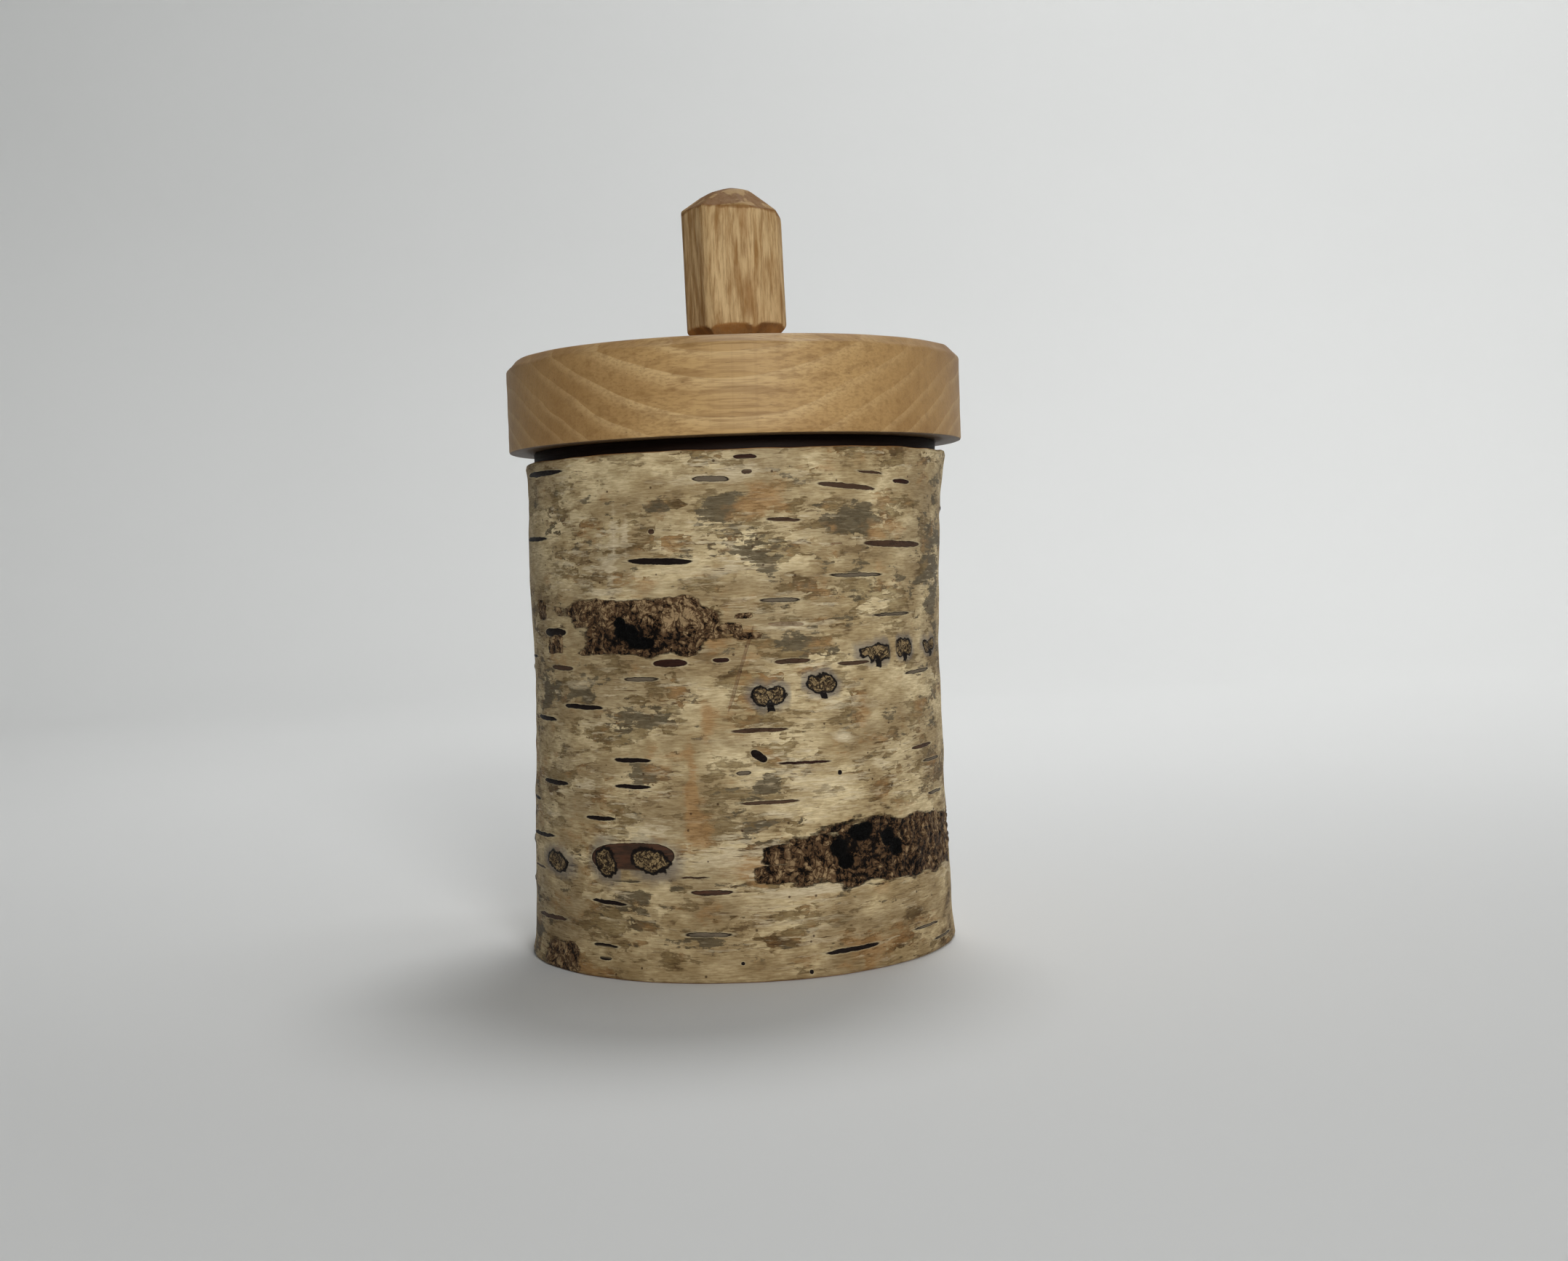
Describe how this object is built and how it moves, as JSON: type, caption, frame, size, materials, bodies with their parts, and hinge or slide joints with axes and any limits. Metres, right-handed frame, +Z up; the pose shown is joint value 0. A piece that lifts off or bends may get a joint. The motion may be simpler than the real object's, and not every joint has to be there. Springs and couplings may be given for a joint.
{
  "type": "tea caddy",
  "caption": "Round birch-bark tea canister with an inner bark tube, wooden bottom and thick wooden lid that lifts off by a whittled knob.",
  "frame": {"origin": "on the resting plane, under the middle of the lid", "axes": "+Z up through the lid and knob, -Y towards the pictured front, +X to its right"},
  "size_m": [0.108, 0.108, 0.1805],
  "materials": {
    "birch_bark": "matte outer bark, cream and grey with dark pores and scars",
    "inner_bark": "smooth matte inner bark",
    "bottom_wood": "sanded, bare",
    "lid_wood": "turned and oiled, satin",
    "knob_wood": "knife-cut and oiled, satin"
  },
  "bodies": {
    "canister": {"bark_sleeve": "birch_bark", "bark_liner": "inner_bark", "bottom_disc": "bottom_wood"},
    "lid": {"lid_cap": "lid_wood", "lid_plug": "lid_wood", "knob": "knob_wood", "tenon_wedge": "knob_wood"}
  },
  "joints": [
    {"name": "lid_lift", "type": "slide", "parent": "canister", "child": "lid", "axis": [0, 0, 1], "range_m": [0, 0.1]}
  ]
}
